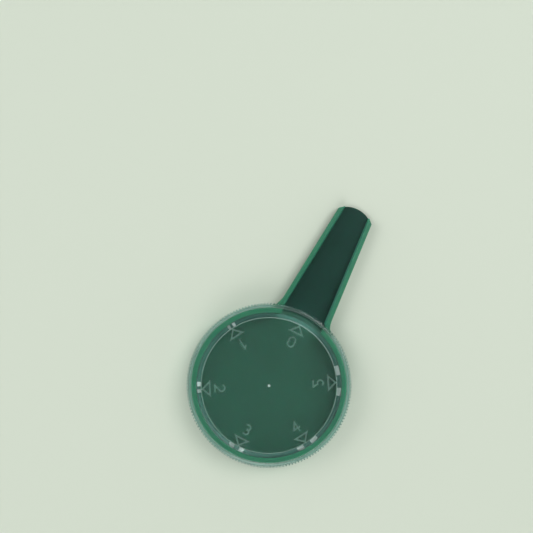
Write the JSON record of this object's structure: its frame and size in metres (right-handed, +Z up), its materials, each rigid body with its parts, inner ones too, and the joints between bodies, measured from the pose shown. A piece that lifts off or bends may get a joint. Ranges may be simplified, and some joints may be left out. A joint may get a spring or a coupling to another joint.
{
  "type": "dial seed sower",
  "caption": "Handheld seed sower: shallow round cup with an open pouring spout, under a clear turning dial cover whose graded gates let seeds out a few at a time.",
  "frame": {"origin": "on the dial's axis, in the plane of the flat underside that rests on the table", "axes": "+X from the dial's axis along the spout to its nose, +Y to the left of the spout, +Z up through the cover"},
  "size_m": [0.128, 0.075, 0.0168],
  "materials": {
    "green_plastic": "satin, slightly translucent",
    "clear_plastic": "clear, polished"
  },
  "bodies": {
    "body": {"sower_body": "green_plastic"},
    "dial": {"dial_cover": "clear_plastic"}
  },
  "joints": [
    {"name": "dial_turn", "type": "hinge", "parent": "body", "child": "dial", "pos_m": [0, 0, 0], "axis": [0, 0, 1], "continuous": true}
  ]
}
